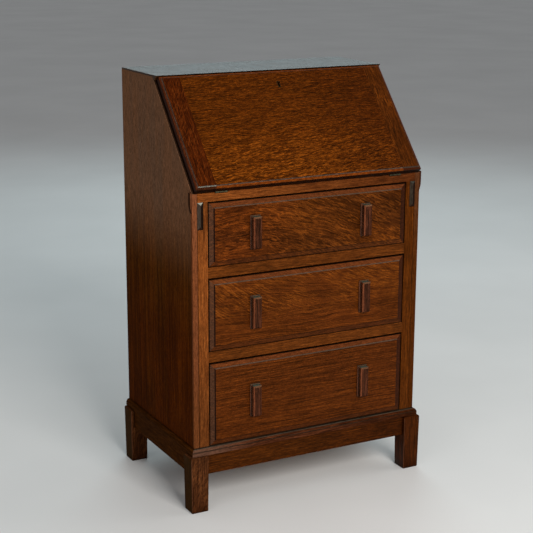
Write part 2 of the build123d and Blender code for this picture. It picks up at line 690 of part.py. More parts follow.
def keyhole(out0, length, grow):
    """A keyhole-shaped rod squared to the lid, every side moved out by grow."""
    with BuildPart() as piece:
        with BuildSketch(LID.offset(out0)):
            with Locations((0, KEYHOLE_RISE)):
                Circle(KEYHOLE_HEAD + grow)
            with Locations((0, KEYHOLE_RISE - KEYHOLE_TAIL / 2 - grow / 2)):
                Rectangle(KEYHOLE_SLOT + 2 * grow, KEYHOLE_TAIL + grow)
        extrude(amount=length)
    return piece.part


LOCK = (-LOCK_WIDTH / 2, LOCK_WIDTH / 2, LID_LENGTH - LOCK_DEPTH, LID_LENGTH, 0, LOCK_THICK)
with BuildPart() as lid_panel:
    add(lid_face.part)
    for side in (-1, 1):
        end = (*sided(side, PANEL_HALF, LID_HALF + 1), -1, LID_LENGTH + 1, -1, LID_THICK + 1)
        add(lid_block(*end), mode=Mode.SUBTRACT)
    tongue = PANEL_HALF + TONGUE_LENGTH
    inset = (TONGUE_LENGTH, LID_LENGTH - TONGUE_LENGTH)
    add(lid_block(-tongue, tongue, *inset, TONGUE_LOW, TONGUE_LOW + TONGUE_THICK))
    add(lid_block(*LOCK), mode=Mode.SUBTRACT)
    add(keyhole(LOCK_THICK, LID_THICK, 0), mode=Mode.SUBTRACT)
    add(keyhole(LID_THICK - LINER_DEPTH, LID_THICK, LINER_WALL), mode=Mode.SUBTRACT)
    for x in HINGES:
        leaf = (x - HALF_HINGE, x + HALF_HINGE, 0, LEAF_WIDTH, 0, LEAF_THICK)
        add(lid_block(*leaf), mode=Mode.SUBTRACT)
        add(lying_rod(x - HALF_HINGE - FIT, x + HALF_HINGE + FIT, KNUCKLE_ROOM), mode=Mode.SUBTRACT)
    for x in SCREWS:
        add(lid_screw(x), mode=Mode.SUBTRACT)
save(lid_panel.part, "lid_panel")

for side, side_name in ((-1, "left"), (1, "right")):
    with BuildPart() as lid_clamp:
        add(lid_face.part)
        keep = (*sided(side, PANEL_HALF, LID_HALF + 1), -1, LID_LENGTH + 1, -1, LID_THICK + 1)
        add(lid_block(*keep), mode=Mode.INTERSECT)
        groove_x = sided(side, PANEL_HALF, PANEL_HALF + TONGUE_LENGTH)
        groove = (*groove_x, *inset, TONGUE_LOW, TONGUE_LOW + TONGUE_THICK)
        add(lid_block(*groove), mode=Mode.SUBTRACT)
    save(lid_clamp.part, f"lid_clamp_{side_name}")

liner = keyhole(LID_THICK - LINER_DEPTH, LINER_DEPTH + LINER_PROUD, LINER_WALL)
save(liner - keyhole(LOCK_THICK, LID_THICK, 0), "keyhole_liner")

bolt_span = (-BOLT_WIDTH / 2, BOLT_WIDTH / 2)
bolt_low = LID_LENGTH - BOLT_LENGTH
with BuildPart() as lock_case:
    add(lid_block(*LOCK))
    channel = (bolt_span[0] - FIT, bolt_span[1] + FIT, bolt_low - FIT, LID_LENGTH)
    add(lid_block(*channel, BOLT_OUT - FIT, BOLT_OUT + BOLT_THICK + FIT), mode=Mode.SUBTRACT)
    add(keyhole(LOCK_THICK - KEYHOLE_DEPTH, LOCK_THICK, 0), mode=Mode.SUBTRACT)
save(lock_case.part, "lock_case")
save(lid_block(*bolt_span, bolt_low, LID_LENGTH, BOLT_OUT, BOLT_OUT + BOLT_THICK), "lock_bolt")

# --- hinges -------------------------------------------------------------------------------------
HALF_SEGMENT = KNUCKLE_SEGMENT / 2
GAP_END = HALF_HINGE - KNUCKLE_SEGMENT
bed_leaves = []
lid_leaves = []
for x in HINGES:
    knuckles = [(x - HALF_HINGE, x - GAP_END), (x + GAP_END, x + HALF_HINGE)]
    leaf = board(x - HALF_HINGE, x + HALF_HINGE, HINGE_Y, LEAF_BACK, HINGE_Z - LEAF_THICK, HINGE_Z)
    leaf -= lying_rod(x - GAP_END, x + GAP_END, KNUCKLE_ROOM)
    for span in knuckles:
        leaf += lying_rod(*span, KNUCKLE_RADIUS)
    bed_leaves.append(leaf - lying_rod(x - HALF_HINGE, x + HALF_HINGE, PIN_RADIUS))
    leaf = lid_block(x - HALF_HINGE, x + HALF_HINGE, 0, LEAF_WIDTH, 0, LEAF_THICK)
    for start, end in ((x - HALF_HINGE, x - HALF_SEGMENT), (x + HALF_SEGMENT, x + HALF_HINGE)):
        leaf -= lying_rod(start, end, KNUCKLE_ROOM)
    leaf += lying_rod(x - HALF_SEGMENT, x + HALF_SEGMENT, KNUCKLE_RADIUS)
    lid_leaves.append(leaf - lying_rod(x - HALF_HINGE, x + HALF_HINGE, PIN_RADIUS + PIN_ROOM))
bed_screws = [bed_screw(x) for x in SCREWS]
lid_screws = [lid_screw(x) for x in SCREWS]
for screw in bed_screws:
    bed_leaves = [leaf - screw for leaf in bed_leaves]
for screw in lid_screws:
    lid_leaves = [leaf - screw for leaf in lid_leaves]
save(group(bed_leaves), "hinge_bed_leaves")
save(group(lid_leaves), "hinge_lid_leaves")
save(group([lying_rod(x - HALF_HINGE, x + HALF_HINGE, PIN_RADIUS) for x in HINGES]), "hinge_pins")
save(group(bed_screws), "hinge_screws_bed")
save(group(lid_screws), "hinge_screws_lid")
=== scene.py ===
"""Looks of the slant-front secretary desk: polished oak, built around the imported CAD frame."""

import json
from math import cos, pi, radians, sin

import bpy
from mathutils import Euler, Matrix, Vector


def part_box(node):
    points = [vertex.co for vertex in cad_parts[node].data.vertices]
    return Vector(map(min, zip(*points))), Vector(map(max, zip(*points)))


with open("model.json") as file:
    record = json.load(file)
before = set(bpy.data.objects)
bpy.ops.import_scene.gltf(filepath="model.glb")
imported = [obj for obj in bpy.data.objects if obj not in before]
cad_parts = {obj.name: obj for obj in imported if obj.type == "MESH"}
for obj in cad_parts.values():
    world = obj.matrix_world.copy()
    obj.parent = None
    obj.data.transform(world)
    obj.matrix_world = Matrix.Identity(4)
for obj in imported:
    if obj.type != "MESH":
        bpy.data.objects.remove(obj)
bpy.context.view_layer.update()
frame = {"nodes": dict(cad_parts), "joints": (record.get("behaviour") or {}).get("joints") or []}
NODES = frame["nodes"]
JOINTS = {joint["name"]: joint for joint in frame["joints"]}

# --- directions and sizes, in metres --------------------------------------------------------------
X, Y, Z = 0, 1, 2
HINGE_Z = JOINTS["lid_hinge"]["pos_m"][Z]
SLOPE = radians(180 - JOINTS["lid_hinge"]["range_deg"][1])
UP_SLOPE = JOINTS["lock_bolt_slide"]["axis"]
SLOPE_FACE = (0.0, -sin(SLOPE), cos(SLOPE))
DIAGONAL = 0.7071
UP = (0.0, 0.0, 1.0)
LEFT = (-1.0, 0.0, 0.0)
RIGHT = (1.0, 0.0, 0.0)
FRONT_LEFT = (-DIAGONAL, -DIAGONAL, 0.0)
FRONT_RIGHT = (DIAGONAL, -DIAGONAL, 0.0)
FRONT_UP = (0.0, -DIAGONAL, DIAGONAL)

MIDDLE_LOW, MIDDLE_HIGH = (corner[Z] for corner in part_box("drawer_middle_front"))
STRIP_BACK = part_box("front_post_left")[0][Y] + 0.007    # rubbed front edge of the side boards
PULL_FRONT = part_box("drawer_top_pulls")[0][Y]
NECK = PULL_FRONT + 0.0074                              # behind the grip of a pull
PLATE = PULL_FRONT + 0.0133                             # behind its neck
PLINTH_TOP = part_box("plinth_front")[1][Z]

OUTSIDE = -0.001             # a band that starts here takes in the outline itself
LINE_SOFT = 0.00035          # half the width over which a painted line fades
MARGIN = 0.013               # from a drawer front's outline to its field
MARGIN_END = MARGIN - 0.0012
RIM = 0.0065                 # from the lid's outline to its field
RIM_END = RIM - 0.0012
FIELD_START = RIM + 0.0004

CORNER_SHADE_REACH = 0.007         # how far out of a corner the painted shade reaches
METAL_CREASE_REACH = 0.003
ARRIS_RADIUS = 0.0022        # how far from an edge the wood is rubbed
BUMP_HEIGHT = 0.0004
METAL_BUMP_HEIGHT = 0.0002
WOOD_IOR = 1.5

TIE = 1e-5                   # sides of an outline this close to equally near both count as nearest
MIX_A, MIX_B, MIX_RESULT = 6, 7, 2      # a Mix node's colour sockets
WELD_GAP = 1e-6
BEVEL_STEPS = 2
BEVEL_FROM = radians(35)     # edges sharper than this are eased
WOOD_EDGE, PULL_EDGE, METAL_EDGE = 0.0009, 0.0006, 0.00015

FLOOR_RADIUS = 60.0
WORLD_STRENGTH = 0.45
SENSOR_WIDTH = 36.0
LENS = 91.53
CAMERA_AT = (-1.5491, -2.8758, 1.3558)
CAMERA_DOWN, CAMERA_TURN, CAMERA_ROLL = 0.25073, -0.48988, 0.00373


# --- nodes ----------------------------------------------------------------------------------------
def srgb(red, green, blue):
    """An 8-bit sRGB colour as a linear RGBA tuple."""
    def line(value):
        value /= 255
        return value / 12.92 if value <= 0.04045 else ((value + 0.055) / 1.055) ** 2.4
    return (line(red), line(green), line(blue), 1.0)


def grey(level):
    return (level, level, level, 1.0)


class Graph:
    """A small helper that builds one material's node tree."""

    def __init__(self, name):
        self.material = bpy.data.materials.new(name)
        self.material.use_nodes = True
        self.tree = self.material.node_tree
        self.tree.nodes.clear()
        self.output = self.tree.nodes.new("ShaderNodeOutputMaterial")

    def put(self, socket, value):
        """Links a socket to another, or sets it."""
        if isinstance(value, bpy.types.NodeSocket):
            self.tree.links.new(value, socket)
        elif value is not None:
            socket.default_value = value

    def node(self, kind, inputs=(), **settings):
        """Adds a node; inputs maps a socket's name or index to its value."""
        made = self.tree.nodes.new("ShaderNode" + kind)
        for key, value in settings.items():
            setattr(made, key, value)
        for key, value in dict(inputs).items():
            self.put(made.inputs[key], value)
        return made

    def math(self, operation, a, b=None, c=None):
        return self.node("Math", {0: a, 1: b, 2: c}, operation=operation).outputs[0]

    def vector(self, operation, a, b, result="Vector"):
        return self.node("VectorMath", {0: a, 1: b}, operation=operation).outputs[result]

    def combine(self, x, y, z):
        return self.node("CombineXYZ", {0: x, 1: y, 2: z}).outputs[0]

    def mix(self, factor, a, b, blend="MIX"):
        made = self.node("Mix", data_type="RGBA", blend_type=blend, clamp_factor=True)
        self.put(made.inputs[0], factor)
        self.put(made.inputs[MIX_A], a)
        self.put(made.inputs[MIX_B], b)
        return made.outputs[MIX_RESULT]

    def times(self, colour, tone):
        """One colour multiplied by another."""
        return self.mix(1.0, colour, tone, "MULTIPLY")

    def noise(self, vector, scale, detail=3.0, roughness=0.55, distortion=0.0):
        return self.node("TexNoise", {
            "Vector": vector, "Scale": scale, "Detail": detail,
            "Roughness": roughness, "Distortion": distortion,
        }).outputs["Fac"]

    def ramp(self, factor, *stops):
        """A colour ramp; each stop is (position, colour)."""
        made = self.node("ValToRGB", {"Fac": factor})
        points = made.color_ramp.elements
        while len(points) > 1:
            points.remove(points[-1])
        for index, (position, colour) in enumerate(stops):
            point = points[0] if index == 0 else points.new(position)
            point.position = position
            point.color = colour
        return made.outputs["Color"]

    def vary(self, colour, factor, start, end, amount):
        """Darkens and lightens a colour by amount, as factor goes from start to end."""
        greys = self.ramp(factor, (start, grey(1.0 - amount)), (end, grey(1.0 + amount)))
        return self.times(colour, greys)

    def band(self, value, low, high):
        """0 below low, 1 above high, smooth between."""
        inputs = dict(enumerate((value, low, high, 0.0, 1.0)))
        return self.node("MapRange", inputs, interpolation_type="SMOOTHSTEP", clamp=True).outputs[0]

    def finish(self, colour, roughness, normal=None, **sockets):
        """Ends the tree in a shader; sockets are the ones that hold a plain value."""
        inputs = {"Base Color": colour, "Roughness": roughness, "Normal": normal}
        shader = self.node("BsdfPrincipled", inputs)
        for name, value in sockets.items():
            shader.inputs[name.replace("_", " ")].default_value = value
        self.put(self.output.inputs["Surface"], shader.outputs[0])
        return self.material


# --- wood and metal -------------------------------------------------------------------------------
def paint_border(g, colour, across, up, depth, limits, bands):
    """Lines and margins that follow a rectangle, some of them painted light and shade.

    Each band is (sides, near, far, tone, amount, deepest): how far in from the outline it starts and
    ends, and the depth it must lie below, or None.
    """
    left, right, low, high = limits
    reach = {
        "left": g.math("SUBTRACT", across, left), "right": g.math("SUBTRACT", right, across),
        "low": g.math("SUBTRACT", up, low), "high": g.math("SUBTRACT", high, up),
    }
    least = g.math("MINIMUM", g.math("MINIMUM", reach["left"], reach["right"]),
                   g.math("MINIMUM", reach["low"], reach["high"]))
    nearest = g.math("ADD", least, TIE)
    for sides, near, far, tone, amount, deepest in bands:
        for side in sides.split():
            mask = g.math("MULTIPLY", g.band(least, near - LINE_SOFT, near + LINE_SOFT),
                          g.band(least, far + LINE_SOFT, far - LINE_SOFT))
            mask = g.math("MULTIPLY", mask, g.math("LESS_THAN", reach[side], nearest))
            if deepest is not None:
                mask = g.math("MULTIPLY", mask, g.math("LESS_THAN", depth, deepest))
            colour = g.mix(g.math("MULTIPLY", mask, amount), colour, tone)
    return colour


def paint_zones(g, colour, axes, zones):
    """Tones by place, some of them painted light and shade: each zone is (bands, tone, amount,
    multiplied), each band (axis, start, end).
    """
    for bands, tone, amount, multiplied in zones:
        mask = amount
        for axis, start, end in bands:
            mask = g.math("MULTIPLY", mask, g.band(axes[axis], start, end))
        colour = g.mix(mask, colour, g.times(colour, tone) if multiplied else tone)
    return colour


def paint_light_by_facing(g, colour, turned):
    """Painted light, shade and reflections by the way a face is turned on the object: (direction, start,
    end, tone, amount).
    """
    for direction, start, end, tone, amount in turned:
        normal = g.node("TexCoord").outputs["Normal"]
        towards = g.vector("DOT_PRODUCT", normal, direction, "Value")
        colour = g.mix(g.math("MULTIPLY", g.band(towards, start, end), amount), colour, tone)
    return colour


OAK_LOOK = {
    "seed": 0.0, "slope": False, "waver": 0.006,
    # the figure's lines bend in a long valley
    "bend": 0.0, "bend_at": 0.0, "bend_soft": 0.05, "bend_fade": None,
    # ray flecks
    "fleck": 0.35, "fleck_colour": None, "fleck_long": 65.0, "fleck_wide": 260.0, "fleck_from": 0.54,
    "fleck_angle": 0.0, "fleck_dark": 0.25, "fleck_wave": 0.4, "fleck_gate": (0.30, 0.58),
    "fleck_fade": None,
    # growth rings, slow changes of tone, and fine marks
    "ring": 420.0, "ring_long": 16.0, "wash": 0.08, "mottle": 0.12, "mottle_scale": 7.0, "patches": None,
    "grit": 0.16, "speck": 0.08, "pores": 0.45,
    # painted tones and lines, with painted light and shade among them
    "zones": (), "border": None, "turned": (),
    # polish, wear and painted shade in the corners
    "rough": 0.3, "gloss": 0.06, "tint": (1.0, 0.55, 0.22, 1.0), "wear": 0.25, "crease": 0.3,
}


def oak(name, grain, tones, **look):
    """Polished oak. grain is the board's long axis; look holds what differs from OAK_LOOK."""
    opt = {**OAK_LOOK, **look}
    g = Graph(name)
    place = g.node("TexCoord").outputs["Object"]
    board = place
    if opt["slope"]:
        turn = g.node("VectorRotate", {"Vector": place, "Angle": -SLOPE}, rotation_type="X_AXIS")
        board = turn.outputs[0]
    axes = g.node("SeparateXYZ", {0: board}).outputs
    raw = g.node("SeparateXYZ", {0: place}).outputs
    along = axes[grain]
    if opt["slope"]:
        across, depth = axes[1 - grain], axes[Z]
    elif grain == X:
        across, depth = axes[Z], axes[Y]
    else:
        across, depth = [axes[index] for index in (X, Y, Z) if index != grain]

    # lines that run along the board, waver and bend
    offset = g.math("SUBTRACT", along, opt["bend_at"])
    curve = g.math("SQRT", g.math("ADD", g.math("MULTIPLY", offset, offset), opt["bend_soft"] ** 2))
    roam = g.combine(g.math("MULTIPLY", along, 9.0), g.math("MULTIPLY", across, 16.0), opt["seed"])
    waver = g.math("MULTIPLY", g.math("SUBTRACT", g.noise(roam, 1.0, 2.0), 0.5), opt["waver"])
    bend = opt["bend"]
    if opt["bend_fade"]:
        full, straight = opt["bend_fade"]
        bend = g.math("MULTIPLY", g.band(across, straight, full), bend)
    bent = g.math("ADD", g.math("SUBTRACT", across, g.math("MULTIPLY", curve, bend)), waver)
    seeded = g.math("ADD", along, opt["seed"])

    def streaks(long, wide, detail, distortion=0.0, roughness=0.6):
        spot = g.combine(g.math("MULTIPLY", seeded, long), g.math("MULTIPLY", bent, wide),
                         g.math("MULTIPLY", depth, wide))
        return g.noise(spot, 1.0, detail, roughness, distortion)

    # growth rings and broad bands
    dark, middle, light = tones
    rings = streaks(opt["ring_long"], opt["ring"], 5.0, 0.3, 0.7)
    colour = g.ramp(rings, (0.36, dark), (0.50, middle), (0.66, light))
    colour = g.vary(colour, streaks(2.5, 34.0, 2.0, 0.2), 0.36, 0.64, opt["wash"])

    # ray flecks: short pale ribbons at an angle to the grain, with darker wood between them
    lean = opt["fleck_angle"]
    fleck_u = g.math("ADD", g.math("MULTIPLY", seeded, cos(lean)),
                     g.math("MULTIPLY", bent, sin(lean)))
    fleck_v = g.math("SUBTRACT", g.math("MULTIPLY", bent, cos(lean)),
                     g.math("MULTIPLY", seeded, sin(lean)))
    fleck_at = g.combine(g.math("MULTIPLY", fleck_u, opt["fleck_long"]),
                         g.math("MULTIPLY", fleck_v, opt["fleck_wide"]),
                         g.math("MULTIPLY", depth, opt["fleck_wide"] / 3))
    ray = g.noise(fleck_at, 1.0, 3.0, 0.6, opt["fleck_wave"])
    fleck = g.band(ray, opt["fleck_from"] - 0.06, opt["fleck_from"] + 0.06)
    fleck = g.math("MULTIPLY", fleck, g.band(g.noise(roam, 1.6, 2.0), *opt["fleck_gate"]))
    between = g.band(ray, 0.46, 0.34)
    if opt["fleck_fade"]:
        full, faint, least = opt["fleck_fade"]
        strength = g.math("MULTIPLY_ADD", g.band(raw[Z], faint, full), 1.0 - least, least)
        fleck, between = g.math("MULTIPLY", fleck, strength), g.math("MULTIPLY", between, strength)
    colour = g.mix(g.math("MULTIPLY", fleck, opt["fleck"]), colour, opt["fleck_colour"] or light)
    colour = g.mix(g.math("MULTIPLY", between, opt["fleck_dark"]), colour, dark)

    # slow changes of tone over the board, and painted tones and lines, with painted light and shade among
    # them
    slow = g.vector("ADD", board, (opt["seed"], 3.1, opt["seed"]))
    colour = g.vary(colour, g.noise(slow, opt["mottle_scale"], 2.0), 0.34, 0.66, opt["mottle"])
    colour = paint_zones(g, colour, raw, opt["zones"])
    if opt["patches"]:
        cool, warm = opt["patches"]
        colour = g.times(colour, g.ramp(streaks(1.6, 15.0, 2.0), (0.42, cool), (0.58, warm)))
    if opt["border"]:
        up = axes[Y] if opt["slope"] else axes[Z]
        colour = paint_border(g, colour, axes[X], up, depth, *opt["border"])
    colour = paint_light_by_facing(g, colour, opt["turned"])

    # fine lines, grit, specks and open pores
    fine_lines = streaks(45.0, 850.0, 2.0)
    fine = g.ramp(fine_lines, (0.34, grey(0.6)), (0.52, grey(1.0)), (0.68, grey(1.3)))
    colour = g.times(colour, fine)
    colour = g.vary(colour, streaks(130.0, 400.0, 2.0), 0.38, 0.62, opt["grit"])
    colour = g.vary(colour, g.noise(board, 340.0, 2.0, 0.7), 0.36, 0.64, opt["speck"])
    pores = streaks(120.0, 1500.0, 2.0)
    pore_mask = g.band(pores, 0.60, 0.70)
    colour = g.mix(g.math("MULTIPLY", pore_mask, opt["pores"]), colour, PORE)

    # painted shade darkens the corners; arrises are rubbed a little lighter
    corner = g.node("AmbientOcclusion", {"Distance": CORNER_SHADE_REACH}, samples=6)
    crease = g.band(corner.outputs["AO"], 0.30, 0.92)
    colour = g.mix(crease, g.times(colour, grey(opt["crease"])), colour)
    rubbed = g.node("Bevel", {"Radius": ARRIS_RADIUS}, samples=4).outputs[0]
    facing = g.vector("DOT_PRODUCT", rubbed, g.node("NewGeometry").outputs["Normal"], "Value")
    arris = g.math("MULTIPLY", g.band(facing, 0.995, 0.90), g.band(g.noise(slow, 38.0, 3.0), 0.42, 0.62))
    colour = g.mix(g.math("MULTIPLY", arris, opt["wear"]), colour, g.times(colour, grey(1.9)))

    # smears in the polish, duller over the pores
    rough = g.math("ADD", g.math("MULTIPLY", g.noise(slow, 22.0, 4.0), 0.16), opt["rough"] - 0.08)
    rough = g.math("ADD", rough, g.math("MULTIPLY", pore_mask, 0.15))
    height = g.math("ADD", g.math("MULTIPLY", pores, -0.6), g.math("MULTIPLY", fine_lines, 0.5))
    bump = g.node("Bump", {"Height": height, "Strength": 0.28, "Distance": BUMP_HEIGHT}).outputs[0]
    return g.finish(colour, rough, bump, IOR=WOOD_IOR, Specular_IOR_Level=opt["gloss"],
                    Specular_Tint=opt["tint"])


def metal(name, bright, dull, rough):
    """Aged metal: dull patches, scratches and dark corners."""
    g = Graph(name)
    place = g.node("TexCoord").outputs["Object"]
    patch = g.noise(place, 160.0, 4.0, 0.6)
    scratch = g.noise(g.vector("MULTIPLY", place, (2600.0, 300.0, 2600.0)), 1.0, 2.0)
    colour = g.mix(g.band(patch, 0.42, 0.66), bright, dull)
    corner = g.node("AmbientOcclusion", {"Distance": METAL_CREASE_REACH}, samples=6)
    colour = g.mix(g.band(corner.outputs["AO"], 0.3, 0.9), g.times(colour, grey(0.3)), colour)
    roughness = g.math("ADD", g.math("MULTIPLY", patch, 0.35), rough - 0.17)
    height = g.math("ADD", scratch, patch)
    bump = g.node("Bump", {"Height": height, "Strength": 0.15, "Distance": METAL_BUMP_HEIGHT}).outputs[0]
    return g.finish(colour, roughness, bump, Metallic=1.0)


# --- colours --------------------------------------------------------------------------------------
LID_TONES = (srgb(35, 12, 1), srgb(65, 27, 2), srgb(92, 42, 5))
LID_RIGHT = (srgb(38, 15, 1), srgb(62, 27, 3), srgb(86, 40, 8))
CLAMP_TONES = (srgb(35, 9, 1), srgb(59, 20, 2), srgb(86, 35, 6))
DRAWER_TONES = (srgb(42, 17, 3), srgb(73, 32, 7), srgb(102, 50, 13))
DRAWER_TOP_TONES = (srgb(37, 15, 3), srgb(67, 31, 7), srgb(95, 48, 13))
POST_TONES = (srgb(80, 38, 12), srgb(110, 57, 21), srgb(138, 77, 32))
# the right front post in darker tones than the left one, as painted shade
POST_RIGHT_SHADED = (srgb(48, 20, 2), srgb(73, 33, 4), srgb(98, 49, 10))
RAIL_TONES = (srgb(52, 24, 5), srgb(81, 39, 10), srgb(106, 56, 18))
SIDE_TONES = (srgb(66, 33, 5), srgb(84, 44, 9), srgb(104, 58, 15))
TOP_TONES = (srgb(34, 18, 7), srgb(54, 31, 13), srgb(76, 47, 23))
PULL_TONES = (srgb(26, 12, 8), srgb(51, 25, 15), srgb(82, 43, 27))
EAR_TONES = (srgb(56, 30, 16), srgb(80, 45, 26), srgb(104, 62, 38))
LOPER_TONES = (srgb(18, 10, 7), srgb(34, 20, 14), srgb(56, 34, 24))
PLINTH_TONES = (srgb(35, 14, 6), srgb(62, 29, 13), srgb(91, 49, 28))
APRON_TONES = (srgb(30, 12, 2), srgb(54, 23, 4), srgb(82, 40, 9))
LEG_TONES = (srgb(36, 17, 7), srgb(61, 32, 15), srgb(88, 51, 28))
# the front right leg in darker tones, as painted shade
LEG_RIGHT_SHADED = (srgb(32, 12, 2), srgb(53, 21, 4), srgb(78, 36, 9))
STAND_SIDE = (srgb(42, 21, 3), srgb(58, 29, 6), srgb(78, 42, 12))
INSIDE_TONES = (srgb(112, 76, 42), srgb(144, 102, 60), srgb(170, 128, 82))
PORE = srgb(26, 11, 4)
BLACK = srgb(9, 4, 2)
# painted reflections and painted light on a drawer front's step and margins
STEP_REFLECTION_GREY = srgb(86, 70, 58)
MARGIN_REFLECTION_GREY = srgb(66, 46, 35)
MARGIN_LIT_RED = srgb(98, 51, 26)


# --- painted lines and tones ----------------------------------------------------------------------
def plane_limits(names, up):
    """The outline of some nodes as lowest and highest x, and lowest and highest distance along up."""
    points = [vertex.co for name in names for vertex in NODES[name].data.vertices]
    wide = [point.x for point in points]
    tall = [point.dot(Vector(up)) for point in points]
    return min(wide), max(wide), min(tall), max(tall)


LID_LIMITS = plane_limits(("lid_panel", "lid_clamp_left", "lid_clamp_right"), UP_SLOPE)
LID_FACE = max(vertex.co.dot(Vector(SLOPE_FACE)) for vertex in NODES["lid_panel"].data.vertices)


def lid_border(line, low_tone, low_amount):
    """The lid's moulded rim with painted light and shade: painted shade on its outer edges and inside the
    step, a painted reflection line round the field, and a painted highlight line, in the colour line,
    along its low side.
    """
    return LID_LIMITS, (
        # painted shade on the outer edge faces, darkest deep down
        ("left right high", OUTSIDE, 0.0006, srgb(40, 17, 8), 0.75, LID_FACE - 0.004),
        ("left right high", OUTSIDE, 0.0006, srgb(10, 5, 3), 0.9, LID_FACE - 0.013),
        ("left right", 0.0006, RIM_END, srgb(72, 35, 20), 0.65, None),
        ("high", 0.0006, RIM_END, srgb(104, 50, 20), 0.65, None),
        ("low", OUTSIDE, RIM_END, low_tone, low_amount, LID_FACE + 0.001),
        # painted shade on the low edge face
        ("low", OUTSIDE, 0.0006, srgb(9, 3, 1), 0.95, LID_FACE - 0.005),
        # at the step: a painted reflection line, a painted highlight line on the low side, and painted
        # shade just inside the field
        ("left right high", RIM_END, FIELD_START, srgb(86, 74, 64), 0.8, None),
        ("low", RIM - 0.0014, FIELD_START, line, 0.9, None),
        ("left low right high", FIELD_START, RIM + 0.0014, srgb(34, 15, 6), 0.6, None),
        # painted shade along the right outer edge
        ("right", OUTSIDE, 0.0012, srgb(34, 20, 12), 0.75, None),
    )


def drawer_border(name):
    """The dark joint round a drawer front, widened by painted shadow, and its mitred margin and step line,
    lit and shaded as painted light: painted reflections on the left margin and the top step, a lighter top
    margin, and painted shade on the other margins and steps.
    """
    return plane_limits((name,), UP), (
        # the dark joint, widened by painted shadow on the top, right and low sides
        ("left right low", OUTSIDE, 0.0015, BLACK, 0.95, None),
        ("high", OUTSIDE, 0.0024, BLACK, 0.95, None),
        ("right low", 0.0010, 0.0022, BLACK, 0.85, None),
        # margins: a painted reflection on the left, painted light on the top, painted shade on the right
        # and low sides
        ("left", 0.0012, MARGIN_END, MARGIN_REFLECTION_GREY, 0.7, None),
        ("high", 0.0024, MARGIN_END, MARGIN_LIT_RED, 0.6, None),
        ("right", 0.0012, MARGIN_END, srgb(46, 20, 9), 0.92, None),
        ("low", 0.0012, MARGIN_END, srgb(62, 30, 12), 0.5, None),
        # step lines: painted shade on the left, right and low sides, a painted reflection on the top
        ("left right", MARGIN - 0.0013, MARGIN + 0.0013, srgb(15, 12, 13), 0.9, None),
        ("low", MARGIN_END, MARGIN + 0.0008, srgb(26, 12, 5), 0.8, None),
        ("high", MARGIN - 0.0010, MARGIN + 0.0010, STEP_REFLECTION_GREY, 0.85, None),
    )


def joint_lines(name, sides, width=0.0011):
    """Dark joint lines along some edges of a board."""
    return plane_limits((name,), UP), ((sides, OUTSIDE, width, BLACK, 0.75, None),)


def tinted(axis, start, end, tone, amount=1.0):
    """A zone that multiplies the wood by a tone, more and more from start to end."""
    return ((axis, start, end),), (*tone, 1.0), amount, True


def coloured(axis, start, end, tone, amount):
    """A zone that mixes the wood with a tone, more and more from start to end."""
    return ((axis, start, end),), tone, amount, False


def line_at(axis, middle, half, tone, amount, soft=0.0003):
    """A zone for a line across an axis."""
    near, far = middle - half, middle + half
    return ((axis, near - soft, near), (axis, far + soft, far)), tone, amount, False


def side_strip(upper, lower):
    """Zones for a side board's rubbed front edge, in two tones, and the dark line behind it."""
    edge = (Y, STRIP_BACK + 0.0004, STRIP_BACK - 0.0004)
    line = ((Y, STRIP_BACK + 0.0012, STRIP_BACK + 0.0006), (Y, STRIP_BACK - 0.0006, STRIP_BACK))
    return (
        ((edge, (Z, HINGE_Z + 0.001, HINGE_Z - 0.001)), upper, 0.85, False),
        ((edge, (Z, 0.42, 0.20)), lower, 0.8, False),
        (line, BLACK, 0.4, False),
    )


def loper_painted_light(top, left):
    """Painted light for the bevels of a loper's end: a painted highlight on its top, a painted reflection
    on its left and painted shade on its right.
    """
    return (
        (UP, 0.25, 0.4, top, 0.85),
        (LEFT, 0.25, 0.4, left, 0.7),
        (RIGHT, 0.25, 0.4, srgb(10, 6, 4), 0.7),
    )


# painted reflection on the side boards: greyer higher up, as of a pale wall, and darker and richer lower
# down, as of a dark floor
SIDE_PAINTED_REFLECTION = (
    tinted(Z, 0.66, 0.36, (0.68, 0.48, 0.16)),
    coloured(Z, 0.53, 0.75, srgb(121, 86, 65), 0.8),
)
SIDE = {
    "seed": 9.6, "fleck": 0.1, "ring": 160, "ring_long": 3.0, "mottle": 0.16, "mottle_scale": 5.0,
    # painted shade on the sloped top edges of the side boards, where the lid shades them
    "gloss": 0.001, "wash": 0.17, "turned": ((SLOPE_FACE, 0.95, 0.99, srgb(24, 14, 9), 0.85),),
    "patches": ((0.90, 0.97, 1.0, 1.0), (1.03, 1.0, 0.92, 1.0)),
}
# painted light on a pull's faces: a painted reflection on the top, painted highlights on the upper and
# left chamfers, painted shade on the right chamfer
PULL_PAINTED_LIGHT = (
    (UP, 0.85, 0.97, srgb(74, 86, 76), 0.85),
    (FRONT_UP, 0.93, 0.99, srgb(104, 72, 50), 0.8),
    (FRONT_LEFT, 0.93, 0.99, srgb(110, 60, 38), 0.85),
    (FRONT_RIGHT, 0.93, 0.99, srgb(74, 38, 22), 0.7),
)
# a painted highlight on the front-left arrises of the legs
LEG_ARRIS_HIGHLIGHT = (FRONT_LEFT, 0.93, 0.995, srgb(118, 76, 56), 0.6)
LEG_FOOT = tinted(Z, 0.035, 0.0, (0.5, 0.45, 0.42), 0.8)

